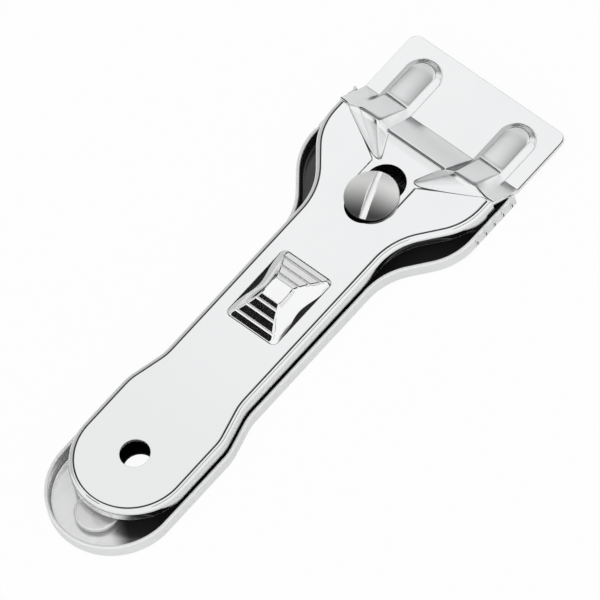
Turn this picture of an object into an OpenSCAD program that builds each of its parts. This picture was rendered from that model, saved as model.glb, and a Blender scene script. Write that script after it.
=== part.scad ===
// Hob scraper with a sliding blade guard, made of two pressed steel shells.
// The tray lies on the surface at Z = 0, and the head points along +X. The shells are
// symmetric about Y = 0, and the origin is under the middle of the overall length.

/* [Overall] */
// Length from the tail of the tray to the front edge of the guard
overall_l = 142; // [125:1:180]
// Height of the flat top of the cover
body_h = 8; // [6.6:0.1:10]
// Thickness of the pressed sheet of both shells
sheet_t = 0.8; // [0.6:0.05:1]

/* [Cover outline] */
// Outer radius of the round tail of the cover
tail_r = 14.3; // [12.5:0.1:18]
// Outer width of the cover at its waist
waist_w = 23.6; // [21:0.1:28]
// Outer width of the cover at its head
head_w = 44.6; // [44:0.1:54]
// Distance from the hanging hole to the start of the narrowing
knee_start = 13.6; // [12:0.1:16]
// Distance from the hanging hole to the end of the narrowing
knee_end = 22.9; // [19:0.1:27]
// Distance from the front edge back to the head end of the flare
flare_front = 32.6; // [30:0.1:36]
// Length of the flare between its two corners
flare_l = 12.5; // [10:0.1:15]
// Rounding radius of the knees
knee_r = 12; // [6:0.5:20]
// Rounding radius of the flare
flare_r = 15; // [8:0.5:20]
// Height of the edge that is turned down around the cover
flange_h = 3.1; // [2.5:0.1:3.7]
// Inner radius of the bend between the top and the turned edge
bend_in = 0.2; // [0.1:0.05:0.5]

/* [Tray] */
// Space for the cover's travel between its tail and the tray's wall
tail_space = 7.3; // [7:0.1:12]
// Radius of the hanging hole in the cover
hang_r = 3.4; // [2:0.1:3.6]
// Radius of the hole in the tray below the hanging hole
tray_hang_r = 4.3; // [3.4:0.1:4.6]
// Distance of the hanging hole in front of the middle of the tail's round edge
hang_offset = 0.8; // [0:0.1:2]
// Gap between the edge of the cover and the wall of the tray, in plan
side_gap = 0.3; // [0.2:0.05:0.6]
// Gap in height between the edge of the cover and the rim of the tray
rim_gap = 0.5; // [0.3:0.05:1]
// How much nearer to the tail the flare of the tray starts
flare_lead = 6; // [4:0.1:8]
// Distance from the front edge of the guard back to the end of the tray
tray_front = 18.8; // [17:0.1:21]
// Inner radius of the bend between the floor and the wall
tray_bend_in = 0.6; // [0.2:0.05:1]
// Number of grip notches in each side of the head of the tray
notch_n = 5; // [0:1:6]
// Distance between two grip notches
notch_pitch = 2.9; // [2.4:0.1:3.2]

/* [Guard] */
// Distance from the front edge back to the fold at the top of the slanted band
fold_back = 24.4; // [23.5:0.1:27]
// Distance from the front edge back to the foot of the slanted band
foot_back = 16.8; // [15.5:0.1:18]
// Corner radius of the guard plate
guard_corner_r = 2.2; // [1:0.1:5]
// Distance between the centre lines of the two ribs
rib_spacing = 27.4; // [22:0.1:30]
// Width of a rib at its base
rib_w = 9; // [7:0.1:11]
// Width of the flat top of a rib
rib_top_w = 6.4; // [4.4:0.1:6.8]
// Height of a rib above the sheet
rib_h = 1.3; // [1:0.05:1.6]
// Distance from the front edge back to the round end of a rib
rib_front = 3.3; // [2.5:0.1:4]
// Length of the ridge that each rib runs out into on the top face
ridge_l = 6.9; // [5:0.1:9]
// Distance of the tip of a ridge from the centre line
ridge_tip_y = 5.3; // [4:0.1:8]

/* [Slide] */
// Travel of the cover towards the tail
travel = 6.5; // [5:0.1:6.5]
// Distance from the front edge back to the axis of the clamp screw
screw_back = 39.3; // [38.5:0.1:40.5]
// Half width of the slot in the cover
slot_r = 4.8; // [4:0.1:5]
// Length of the slot behind the screw axis, to the centre of its round end
slot_rear = 2.1; // [1:0.1:3]
// Clearance between a sliding shank and the end of its slot
slide_gap = 0.2; // [0.1:0.05:0.4]

/* [Clamp screw] */
// Radius of the thread
thread_r = 2; // [1.5:0.1:2.2]
// Radius of the shoulder that runs in the slot
shoulder_r = 2.5; // [2.3:0.1:2.6]
// Radius of the screw head
screw_head_r = 6.15; // [5.9:0.05:7]
// Height of the cylindrical side of the screw head
screw_side_h = 0.9; // [0.6:0.05:1.4]
// Height of the dome on the screw head
screw_dome_h = 0.8; // [0.4:0.05:1.2]
// Width of the coin slot
coin_w = 1.7; // [1.2:0.1:2.2]
// Depth of the coin slot below the top of the dome
coin_d = 1; // [0.5:0.05:1.2]
// Angle of the coin slot from the length of the scraper
coin_turn = 22; // [-90:1:90]
// Radius of the washer under the head
washer_r = 5.1; // [5.1:0.05:5.8]
// Thickness of the washer under the head
washer_t = 0.25; // [0.2:0.05:0.5]
// Outer radius of the threaded boss
boss_r = 5.2; // [4:0.1:5.5]
// Radial clearance of a running fit
run_gap = 0.05; // [0.02:0.01:0.1]

/* [Blade] */
// Length of the blade across the scraper
blade_l = 43; // [38:0.1:44]
// Width of the blade along the scraper
blade_w = 21.8; // [19:0.1:23]
// Thickness of the blade
blade_t = 0.25; // [0.2:0.05:0.4]
// Width of the ground bevel along each edge
bevel_w = 1.5; // [0.8:0.1:2.5]
// Radius of the three holes in the blade
blade_hole_r = 2.45; // [2:0.05:2.6]
// Distance from the front edge of the guard back to the studs
stud_back = 13.6; // [13:0.1:14.5]
// Gap between the blade and the guard plate
blade_gap = 0.2; // [0.15:0.05:0.4]
// Thickness of the carrier plate under the blade
carrier_t = 0.5; // [0.4:0.05:1]
// Width of the carrier plate
carrier_w = 41; // [36:0.1:42]

/* [Slider] */
// Length of the window in the cover
window_l = 20; // [17:0.1:23]
// Width of the window in the cover
window_w = 14.4; // [12:0.1:16]
// Corner radius of the window
window_corner_r = 1.5; // [0.5:0.1:2]
// Height of the slider above the cover
hump_h = 3; // [2:0.1:4]
// Length of the flat on top of the slider
hump_flat_l = 4.8; // [3:0.1:7]
// Width of the flat on top of the slider
hump_flat_w = 5.5; // [4:0.1:8]
// How far the sides of the slider are drawn in at its middle
waist_in = 1.5; // [0.5:0.1:2.5]
// Number of grip ribs on each slope of the slider
grip_n = 3; // [1:1:5]
// Height of a grip rib
grip_h = 0.35; // [0.1:0.05:0.6]
// Distance that the slider can be pressed down
press = 0.8; // [0.4:0.1:1]
// Clearance around the slider in its window
window_gap = 0.2; // [0.1:0.05:0.4]

/* [Latch] */
// Thickness of the leaf spring
spring_t = 0.4; // [0.2:0.05:0.6]
// Width of the leaf spring
spring_w = 6; // [4:0.1:8]
// Clearance under the pressed slider, above the bridge
press_room = 0.55; // [0.5:0.05:0.9]
// Gap between the spring and the underside of the bridge
spring_gap = 0.5; // [0.4:0.05:0.8]
// Width of the bridge between the outsides of its legs
bridge_w = 13.6; // [11:0.1:15]
// Distance from the hanging hole to the lug of the spring
lug_x_from_hang = 31; // [29:0.1:33]

/* [Rear guide] */
// Radius of the head of the rear rivet
rivet_head_r = 5.2; // [4:0.1:6]
// Radius of the neck of the rear rivet
rivet_neck_r = 2.4; // [2:0.1:2.6]
// Distance from the hanging hole back to the rear rivet
rivet_back = 13.8; // [13:0.1:14.5]
// Thickness of the guide channel
guide_t = 0.7; // [0.5:0.05:1]
// Outer width of the guide channel
guide_w = 14; // [12:0.1:16]
// Gap above and below the fork
fork_gap = 0.15; // [0.1:0.05:0.3]

/* [Hidden] */
$fn = 64;
// Overlap of a cutting shape past the face that it cuts
past = 1;

// Places along X
front_x = overall_l / 2;
tail_x = -overall_l / 2;
hang_x = tail_x + sheet_t + tail_space + tail_r + hang_offset;
fold_x = front_x - fold_back;
foot_x = front_x - foot_back;
screw_x = front_x - screw_back;
stud_x = front_x - stud_back;
rivet_x = hang_x - rivet_back;
flare_end_x = front_x - flare_front;
flare_start_x = flare_end_x - flare_l;
slider_x = (hang_x + knee_end + flare_start_x) / 2;
tray_end_x = front_x - tray_front;
rib_end_x = front_x - rib_front;
lug_x = hang_x + lug_x_from_hang;

// Levels along Z
floor_z = sheet_t;
cover_under_z = body_h - sheet_t;
flange_z = body_h - flange_h;
rim_z = flange_z - rim_gap;
blade_z = floor_z + carrier_t;
guard_under_z = blade_z + blade_t + blade_gap;
guard_top_z = guard_under_z + sheet_t;
slider_foot_gap = 0.05;
slider_foot_z = cover_under_z - slider_foot_gap;
slider_plate_t = 0.8;
slider_plate_z = slider_foot_z - slider_plate_t;

// Outline of each shell: corners as [x, y, rounding radius], from tail to head. It runs on past
// the end of the shell, so that the wall is square to its side there.
run_on = 4;
wall_out = side_gap + sheet_t;
function shell_corners(back_x, r, waist, head, lead, end_x) = [
    [back_x, r, r],
    [hang_x + knee_start, r, knee_r],
    [hang_x + knee_end, waist, knee_r],
    [flare_start_x - lead, waist, flare_r],
    [flare_end_x - lead, head, flare_r],
    [end_x, head, 0],
    [end_x + run_on, head, 0]
];
cover_corners = shell_corners(
    hang_x - hang_offset - tail_r, tail_r, waist_w / 2, head_w / 2, 0, fold_x);
tray_corners = shell_corners(
    tail_x, tail_r + wall_out, waist_w / 2 + wall_out, head_w / 2 + wall_out,
    flare_lead, tray_end_x);

// Degrees of turn in one step of a rounding
arc_step = 10;
// Largest share of a side that one rounding may take, beside another one and beside a sharp corner
function side_share(corner) = corner.z > 0 ? 0.49 : 0.98;

function unit(v) = v / norm(v);
function xy(p) = [p.x, p.y];
function backwards(list) = [for (i = [len(list) - 1:-1:0]) list[i]];
function mirrored(c) = concat(backwards(c), [for (p = c) [p.x, -p.y, p.z]]);

// Points of one rounded corner b between its neighbours a and c
function corner_arc(a, b, c) =
    let (
        u = unit(xy(a) - xy(b)),
        v = unit(xy(c) - xy(b)),
        half = acos(u * v) / 2,
        room = min(
            side_share(a) * norm(xy(a) - xy(b)),
            side_share(c) * norm(xy(c) - xy(b))
        ),
        reach = min(b.z / tan(half), room),
        radius = reach * tan(half),
        turn = 180 - 2 * half,
        n = ceil(turn / arc_step),
        centre = xy(b) + unit(u + v) * radius / sin(half),
        start = xy(b) + u * reach - centre,
        side = u.x * v.y > u.y * v.x ? -1 : 1
    )
    [
        for (i = [0:n])
            let (t = side * turn * i / n)
            centre + [start.x * cos(t) - start.y * sin(t), start.x * sin(t) + start.y * cos(t)]
    ];

function rounded_path(corners) =
    let (n = len(corners))
    [
        for (i = [0:n - 1])
            let (b = corners[i])
            each b.z > 0 ? corner_arc(corners[(i + n - 1) % n], b, corners[(i + 1) % n]) : [xy(b)]
    ];

// The same path drawn in by d
function inset(path, d) =
    let (n = len(path))
    [
        for (i = [0:n - 1])
            let (
                u = unit(path[i] - path[(i + n - 1) % n]),
                v = unit(path[(i + 1) % n] - path[i]),
                m = unit(u + v)
            )
            path[i] + d / (m * u) * [-m.y, m.x]
    ];

cover_path = rounded_path(mirrored(cover_corners));
tray_path = rounded_path(mirrored(tray_corners));

// Solid through a list of loops that all have the same number of points
module skin(loops) {
    n = len(loops[0]);
    m = len(loops);
    sides = [
        for (j = [0:m - 2], i = [0:n - 1])
            let (k = (i + 1) % n)
            [j * n + i, (j + 1) * n + i, (j + 1) * n + k, j * n + k]
    ];
    caps = [[for (i = [0:n - 1]) i], [for (i = [n - 1:-1:0]) (m - 1) * n + i]];
    polyhedron([for (loop = loops) each loop], concat(sides, caps), convexity = 6);
}

// Number of steps that round a bend of the sheet, and how far each step reaches into the next
bend_steps = 3;
step_lap = 0.3;

// Solid inside an outline that is drawn in by d. One edge is rounded in steps with radius r: the
// top edge where up is 1, and the bottom edge where it is -1.
module pressed_block(path, d, low, high, r, up) {
    translate([0, 0, up > 0 ? low : low + r])
        linear_extrude(high - low - r)
            polygon(inset(path, d));
    for (i = [1:bend_steps]) {
        a = 90 * i / bend_steps;
        h = r * sin(a) + i * step_lap;
        translate([0, 0, up > 0 ? high - r - i * step_lap : low + r - r * sin(a)])
            linear_extrude(h)
                polygon(inset(path, d + r * (1 - cos(a))));
    }
}

// Pressed shell with a turned edge around it, open at its head end
module pressed_shell(path, end_x, low, high, inner_r, up) {
    hollow_low = up > 0 ? low - past : low + sheet_t;
    hollow_high = up > 0 ? high - sheet_t : high + past;
    difference() {
        pressed_block(path, 0, low, high, inner_r + sheet_t, up);
        pressed_block(path, sheet_t, hollow_low, hollow_high, inner_r, up);
        translate([end_x, -head_w, low - past])
            cube([2 * run_on, 2 * head_w, high - low + 2 * past]);
    }
}

// Extrusion across the scraper of a side view that is drawn in X and Z
module across(w) {
    rotate([90, 0, 0])
        linear_extrude(w, center = true)
            children();
}

module rounded_rect(l, w, r) {
    square([l - 2 * r, w], center = true);
    square([l, w - 2 * r], center = true);
    for (sx = [-1, 1], sy = [-1, 1])
        translate([sx * (l / 2 - r), sy * (w / 2 - r)])
            circle(r);
}

// Base tray
notch_w = 1.3;
notch_d = 0.25;
tray_inner_half = head_w / 2 + side_gap;

module base_tray() {
    color([0.86, 0.87, 0.88])
    difference() {
        pressed_shell(tray_path, tray_end_x, 0, rim_z, tray_bend_in, -1);
        translate([hang_x, 0, -past])
            cylinder(h = floor_z + 2 * past, r = tray_hang_r);
        translate([screw_x, 0, -past])
            cylinder(h = floor_z + 2 * past, r = boss_spigot_r);
        translate([rivet_x, 0, -past])
            cylinder(h = floor_z + 2 * past, r = rivet_foot_r);
        at_bridge_rivets(-past)
            cylinder(h = floor_z + 2 * past, r = small_rivet_r);
        at_carrier_rivets(-past)
            cylinder(h = floor_z + 2 * past, r = small_rivet_r);
        grip_notches();
    }
}

// Shallow notches along the outside of the head of the tray
module grip_notches() {
    for (side = [-1, 1], i = [0:1:notch_n - 1])
        translate([
            tray_end_x - notch_w - i * notch_pitch,
            side * (tray_inner_half + sheet_t),
            rim_z / 2 + sheet_t
        ])
            cube([notch_w, 2 * notch_d, rim_z], center = true);
}

// Blade carrier and what it holds
small_rivet_r = 1;
carrier_rear_x = screw_x + boss_r + 3.3;
carrier_front_x = stud_x + 4.2;
carrier_rivet_x = carrier_rear_x + 3.5;
carrier_rivet_y = carrier_w / 2 - 5.5;
stud_y = rib_spacing / 2;
stud_foot_r = 1.5;
stud_r = blade_hole_r - run_gap - 0.1;
stud_side_h = blade_t + 0.35;
stud_top_h = 0.55;

module at_carrier_rivets(z) {
    for (side = [-1, 1])
        translate([carrier_rivet_x, side * carrier_rivet_y, z])
            children();
}

module at_studs(z) {
    for (side = [-1, 1])
        translate([stud_x, side * stud_y, z])
            children();
}

module blade_carrier() {
    color([0.78, 0.79, 0.8])
    difference() {
        translate([(carrier_rear_x + carrier_front_x) / 2, 0, floor_z])
            linear_extrude(carrier_t)
                rounded_rect(carrier_front_x - carrier_rear_x, carrier_w, 2);
        at_carrier_rivets(floor_z - past)
            cylinder(h = carrier_t + 2 * past, r = small_rivet_r);
        at_studs(floor_z - past)
            cylinder(h = carrier_t + 2 * past, r = stud_foot_r);
    }
}

module carrier_rivets() {
    color([0.7, 0.7, 0.72])
    at_carrier_rivets(0)
        cylinder(h = floor_z + carrier_t, r = small_rivet_r);
}

module blade_studs() {
    color([0.7, 0.7, 0.72])
    at_studs(floor_z) {
        cylinder(h = carrier_t, r = stud_foot_r);
        translate([0, 0, carrier_t])
            cylinder(h = stud_side_h, r = stud_r);
        translate([0, 0, carrier_t + stud_side_h])
            cylinder(h = stud_top_h, r1 = stud_r, r2 = stud_r - 1);
    }
}

// Blade with round ends, three holes and a bevel along both edges
edge_t = 0.04;
module scraper_blade() {
    half = blade_w / 2;
    color([0.62, 0.64, 0.66])
    translate([stud_x, 0, blade_z])
        difference() {
            intersection() {
                across(blade_l + past)
                    polygon([
                        [-half, (blade_t - edge_t) / 2],
                        [bevel_w - half, 0],
                        [half - bevel_w, 0],
                        [half, (blade_t - edge_t) / 2],
                        [half, (blade_t + edge_t) / 2],
                        [half - bevel_w, blade_t],
                        [bevel_w - half, blade_t],
                        [-half, (blade_t + edge_t) / 2]
                    ]);
                translate([0, 0, -past])
                    cylinder(h = blade_t + 2 * past, r = blade_l / 2);
            }
            for (y = [-stud_y, 0, stud_y])
                translate([0, y, -past])
                    cylinder(h = blade_t + 2 * past, r = blade_hole_r);
        }
}

// Screw boss, washer and screw
boss_spigot_r = 3.2;
boss_top_z = cover_under_z - 0.1;
thread_end_z = floor_z + 0.4;
washer_z = body_h + 0.05;
head_z = washer_z + washer_t;

module screw_boss() {
    color([0.75, 0.75, 0.76])
    translate([screw_x, 0, 0])
        difference() {
            union() {
                cylinder(h = floor_z, r = boss_spigot_r);
                translate([0, 0, floor_z])
                    cylinder(h = boss_top_z - floor_z, r = boss_r);
            }
            translate([0, 0, floor_z])
                cylinder(h = boss_top_z, r = thread_r + run_gap);
        }
}

module screw_washer() {
    color([0.8, 0.8, 0.8])
    translate([screw_x, 0, washer_z])
        difference() {
            cylinder(h = washer_t, r = washer_r);
            translate([0, 0, -past])
                cylinder(h = washer_t + 2 * past, r = shoulder_r + run_gap);
        }
}

module clamp_screw() {
    dome_r = (pow(screw_head_r, 2) + pow(screw_dome_h, 2)) / (2 * screw_dome_h);
    top_z = head_z + screw_side_h + screw_dome_h;
    color([0.72, 0.73, 0.74])
    translate([screw_x, 0, 0]) {
        translate([0, 0, thread_end_z])
            cylinder(h = boss_top_z - thread_end_z, r = thread_r);
        translate([0, 0, boss_top_z])
            cylinder(h = head_z - boss_top_z, r = shoulder_r);
        difference() {
            intersection() {
                translate([0, 0, head_z])
                    cylinder(h = screw_side_h + screw_dome_h, r = screw_head_r);
                translate([0, 0, top_z - dome_r])
                    sphere(dome_r, $fn = 128);
            }
            rotate([0, 0, coin_turn])
                translate([-screw_head_r - past, -coin_w / 2, top_z - coin_d])
                    cube([2 * (screw_head_r + past), coin_w, coin_d + past]);
        }
    }
}

// Rear rivet and the guide channel that slides under its head
rivet_foot_r = 1.8;
fork_z = floor_z + fork_gap;
rivet_head_z = fork_z + guide_t + fork_gap;
rivet_head_h = 0.8;
fork_half = rivet_neck_r + slide_gap;
guide_front = 8;
guide_rear = 9;
guide_flange_w = 3;
guide_reach_r = tail_r - sheet_t - bend_in - 0.3;

module rear_rivet() {
    color([0.8, 0.81, 0.82])
    translate([rivet_x, 0, 0]) {
        cylinder(h = floor_z, r = rivet_foot_r);
        translate([0, 0, floor_z])
            cylinder(h = rivet_head_z - floor_z, r = rivet_neck_r);
        translate([0, 0, rivet_head_z])
            cylinder(h = rivet_head_h, r = rivet_head_r);
    }
}

module rear_guide() {
    leg_h = cover_under_z - fork_z;
    leg_y = guide_w / 2 - guide_t;
    color([0.74, 0.75, 0.76])
    translate([hang_x, 0, 0])
        difference() {
            union() {
                intersection() {
                    translate([-guide_reach_r, -guide_w / 2, fork_z])
                        cube([guide_reach_r + guide_front, guide_w, guide_t]);
                    cylinder(h = body_h, r = guide_reach_r);
                }
                for (side = [0, 1])
                    mirror([0, side, 0])
                        translate([-guide_rear, leg_y, 0]) {
                            translate([0, 0, fork_z])
                                cube([guide_rear + guide_front, guide_t, leg_h]);
                            translate([0, 0, cover_under_z - guide_t])
                                cube([guide_rear + guide_front, guide_flange_w, guide_t]);
                        }
            }
            translate([0, 0, fork_z - past])
                cylinder(h = guide_t + 2 * past, r = hang_r + slide_gap);
            translate([-guide_reach_r - past, -fork_half, fork_z - past])
                cube([guide_reach_r + past, 2 * fork_half, guide_t + 2 * past]);
        }
}

// Bridge on the tray, with one hole for each end of the travel
bridge_z = slider_plate_z - press - press_room;
bridge_t = 0.8;
bridge_foot_w = 3.2;
bridge_margin = 2.3;
lug_l = 1.2;
lug_w = 2.4;
lug_gap = 0.4;
bridge_front_x = lug_x + bridge_margin;
bridge_rear_x = lug_x - travel - bridge_margin;

module at_bridge_rivets(z) {
    for (x = [bridge_rear_x + bridge_margin, bridge_front_x - bridge_margin], side = [-1, 1])
        translate([x, side * (bridge_w + bridge_foot_w) / 2, z])
            children();
}

module latch_bridge() {
    l = bridge_front_x - bridge_rear_x;
    foot_y = bridge_w / 2 + bridge_foot_w;
    color([0.72, 0.73, 0.74])
    difference() {
        translate([bridge_rear_x, 0, 0]) {
            translate([0, -bridge_w / 2, bridge_z - bridge_t])
                cube([l, bridge_w, bridge_t]);
            for (side = [0, 1])
                mirror([0, side, 0]) {
                    translate([0, bridge_w / 2 - bridge_t, floor_z])
                        cube([l, bridge_t, bridge_z - floor_z]);
                    translate([0, bridge_w / 2 - bridge_t, floor_z])
                        cube([l, foot_y - bridge_w / 2 + bridge_t, bridge_t]);
                }
        }
        for (x = [lug_x, lug_x - travel])
            translate([x, 0, bridge_z])
                cube([lug_l + 2 * lug_gap, lug_w + 2 * lug_gap, 4 * bridge_t], center = true);
        at_bridge_rivets(0)
            cylinder(h = floor_z + bridge_t + past, r = small_rivet_r);
    }
}

module bridge_rivets() {
    color([0.7, 0.7, 0.72])
    at_bridge_rivets(0)
        cylinder(h = floor_z + bridge_t, r = small_rivet_r);
}

// Guard cover
band_angle = atan((body_h - guard_top_z) / (foot_x - fold_x));
// Shift along X of a fold's inner or outer line, for each millimetre of offset
fold_lean = tan(band_angle / 2);
fold_in_x = fold_x - sheet_t * fold_lean;
foot_in_x = foot_x - sheet_t * fold_lean;
slot_front_x = screw_x + travel + shoulder_r + slide_gap - slot_r;

// Side view of the slanted band and the guard plate
module guard_side_view() {
    polygon([
        [fold_x, body_h],
        [fold_in_x, cover_under_z],
        [foot_in_x, guard_under_z],
        [front_x, guard_under_z],
        [front_x, guard_top_z],
        [foot_x, guard_top_z]
    ]);
}

// Loop around a rib at one station: base x and top x, middle y, sheet level and widths
function rib_loop(x, top_x, y, z, base, top, rise, sink) =
    let (low = base + sink * (base - top) / rise)
    [
        [x, y - low, z - sink],
        [x, y + low, z - sink],
        [top_x, y + top, z + rise],
        [top_x, y - top, z + rise]
    ];

// Loops of a rib from the fold, down the band and along the guard plate to its round end.
// drop lowers it by a sheet, and trim draws its sides in, for the hollow under the rib.
rib_end_steps = 6;
rib_end_turn = 84;
function rib_loops(y, drop, trim, sink) =
    let (
        base = rib_w / 2 - trim,
        top = rib_top_w / 2 - trim,
        lean = rib_h * fold_lean,
        shift = -drop * fold_lean,
        end_x = rib_end_x - rib_w / 2
    )
    concat(
        [
            for (p = [[fold_x, body_h], [foot_x, guard_top_z]])
                rib_loop(p[0] + shift, p[0] + shift + lean, y, p[1] - drop, base, top, rib_h, sink)
        ],
        [
            for (i = [0:rib_end_steps])
                let (a = rib_end_turn * i / rib_end_steps)
                rib_loop(
                    end_x + base * sin(a), end_x + top * sin(a), y, guard_top_z - drop,
                    base * cos(a), top * cos(a), rib_h, sink)
        ]
    );

// Loop at the tip of the ridge that a rib runs out into on the top face
ridge_tip_rise = 0.1;
ridge_tip_half = 0.6;
function ridge_tip(side, sink) = rib_loop(
    fold_x - ridge_l, fold_x - ridge_l, side * ridge_tip_y, body_h,
    ridge_tip_half, ridge_tip_half / 2, ridge_tip_rise, sink);

module guard_cover() {
    color([0.9, 0.91, 0.92])
    difference() {
        union() {
            pressed_shell(cover_path, fold_x, flange_z, body_h, bend_in, 1);
            intersection() {
                across(head_w)
                    guard_side_view();
                translate([fold_x, 0, 0])
                    linear_extrude(body_h + past)
                        rounded_rect(2 * fold_back, head_w, guard_corner_r);
            }
            for (side = [-1, 1])
                skin(concat(
                    [ridge_tip(side, sheet_t / 2)],
                    rib_loops(side * stud_y, 0, 0, sheet_t / 2)
                ));
        }
        for (side = [-1, 1])
            skin(rib_loops(side * stud_y, sheet_t, sheet_t / 2, past));
        translate([hang_x, 0, cover_under_z - past])
            cylinder(h = sheet_t + 2 * past, r = hang_r);
        screw_slot();
        translate([slider_x, 0, cover_under_z - past])
            linear_extrude(sheet_t + 2 * past)
                rounded_rect(window_l, window_w, window_corner_r);
    }
}

module screw_slot() {
    h = sheet_t + 2 * past;
    rear_x = screw_x - slot_rear;
    for (x = [rear_x, slot_front_x])
        translate([x, 0, cover_under_z - past])
            cylinder(h = h, r = slot_r);
    translate([rear_x, -slot_r, cover_under_z - past])
        cube([slot_front_x - rear_x, 2 * slot_r, h]);
}

// Thumb slider
slider_half_l = window_l / 2 - window_gap;
slider_half_w = window_w / 2 - window_gap;
// Chamfer of the slider's corners, which keeps them clear of the window's round corners
corner_cut = 0.6 * window_corner_r;
hump_end_h = 0.25;
hump_edge_in = 0.25;
// Height of the upright edge of the slider at the level of the cover
hump_side_z = body_h - 0.1;
slider_plate_margin = 1.6;
slider_rivet_x = 6;
slider_rivet_h = 0.8;

// Loop across the slider at x from its middle, raised by an extra height
function hump_loop(x, extra) =
    let (
        u = abs(x) / slider_half_l,
        flat = hump_flat_l / 2 / slider_half_l,
        f = max(0, (u - flat) / (1 - flat)),
        cut = max(0, abs(x) - slider_half_l + corner_cut),
        low = slider_half_w - waist_in * pow(cos(90 * u), 2) - cut,
        end_half = slider_half_w - hump_edge_in,
        top = hump_flat_w / 2 + (end_half - hump_flat_w / 2) * (0.6 * f + 0.4 * f * f) - cut,
        z = body_h + hump_h - (hump_h - hump_end_h) * f + extra
    )
    [
        [slider_x + x, -low, slider_foot_z],
        [slider_x + x, low, slider_foot_z],
        [slider_x + x, low, hump_side_z],
        [slider_x + x, top, z],
        [slider_x + x, -top, z],
        [slider_x + x, -low, hump_side_z]
    ];

// Stations of one slope, from the flat out to the end, with four around each grip rib
function slope_stations() =
    let (
        start = hump_flat_l / 2,
        run = slider_half_l - corner_cut - start,
        half = run / grip_n / 5
    )
    concat(
        [[start, 0]],
        [
            for (i = [0:grip_n - 1])
                let (x = start + run * (i + 0.5) / grip_n)
                each [[x - half, 0], [x - half / 2, grip_h], [x + half / 2, grip_h], [x + half, 0]]
        ],
        [[slider_half_l - corner_cut, 0], [slider_half_l, 0]]
    );

module thumb_slider() {
    slope = slope_stations();
    n = len(slope);
    color([0.82, 0.83, 0.84])
    difference() {
        skin(concat(
            [for (i = [n - 1:-1:0]) hump_loop(-slope[i][0], slope[i][1])],
            [for (s = slope) hump_loop(s[0], s[1])]
        ));
        at_slider_rivets(slider_foot_z - past)
            cylinder(h = slider_rivet_h + past, r = small_rivet_r);
    }
}

module at_slider_rivets(z) {
    for (side = [-1, 1])
        translate([slider_x + side * slider_rivet_x, 0, z])
            children();
}

module slider_plate() {
    color([0.72, 0.73, 0.74])
    difference() {
        translate([slider_x, 0, slider_plate_z])
            linear_extrude(slider_plate_t)
                rounded_rect(
                    window_l + 2 * slider_plate_margin, window_w + 2 * slider_plate_margin, 2);
        at_slider_rivets(slider_plate_z - past)
            cylinder(h = slider_plate_t + 2 * past, r = small_rivet_r);
    }
}

module slider_rivets() {
    color([0.7, 0.7, 0.72])
    at_slider_rivets(slider_plate_z)
        cylinder(h = slider_plate_t + slider_rivet_h, r = small_rivet_r);
}

// Leaf spring, its bracket and rivets
spring_z = slider_plate_z - slider_foot_gap;
spring_low_z = bridge_z - bridge_t - spring_gap;
bracket_rear_x = slider_x + window_l / 2 + slider_plate_margin + 2;
bracket_l = 7;
bracket_w = 8;
spring_bend_x = slider_x - 3.5;
spring_drop_x = spring_bend_x - 4;
spring_tip_x = lug_x - 2.4;
spring_rivet_r = 0.8;
spring_rivet_head_r = 1.4;
spring_rivet_head_h = 0.35;

module at_spring_rivets(z) {
    for (x = [bracket_rear_x + 1.9, bracket_rear_x + bracket_l - 1.9])
        translate([x, 0, z])
            children();
}

module latch_spring() {
    root_x = bracket_rear_x + bracket_l;
    color([0.5, 0.52, 0.55])
    difference() {
        union() {
            across(spring_w)
                polygon([
                    [root_x, spring_z],
                    [spring_bend_x, spring_z],
                    [spring_drop_x, spring_low_z],
                    [spring_tip_x, spring_low_z],
                    [spring_tip_x, spring_low_z - spring_t],
                    [spring_drop_x, spring_low_z - spring_t],
                    [spring_bend_x, spring_z - spring_t],
                    [root_x, spring_z - spring_t]
                ]);
            translate([lug_x - lug_l / 2, -lug_w / 2, spring_low_z - spring_t / 2])
                cube([lug_l, lug_w, bridge_z - 0.1 - spring_low_z + spring_t / 2]);
        }
        at_spring_rivets(spring_z - spring_t - past)
            cylinder(h = spring_t + 2 * past, r = spring_rivet_r);
    }
}

module spring_bracket() {
    color([0.72, 0.73, 0.74])
    difference() {
        translate([bracket_rear_x, -bracket_w / 2, spring_z])
            cube([bracket_l, bracket_w, cover_under_z - spring_z]);
        at_spring_rivets(spring_z - past)
            cylinder(h = cover_under_z - spring_z + 2 * past, r = spring_rivet_r);
    }
}

module spring_rivets() {
    low_z = spring_z - spring_t - spring_rivet_head_h;
    color([0.7, 0.7, 0.72])
    at_spring_rivets(low_z) {
        cylinder(h = spring_rivet_head_h, r = spring_rivet_head_r);
        cylinder(h = cover_under_z - low_z, r = spring_rivet_r);
    }
}

base_tray();
blade_carrier();
carrier_rivets();
blade_studs();
scraper_blade();
screw_boss();
screw_washer();
clamp_screw();
rear_rivet();
latch_bridge();
bridge_rivets();
guard_cover();
rear_guide();
thumb_slider();
slider_plate();
slider_rivets();
latch_spring();
spring_bracket();
spring_rivets();
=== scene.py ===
import math

import bmesh
import bpy
from mathutils import Matrix, Vector


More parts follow.
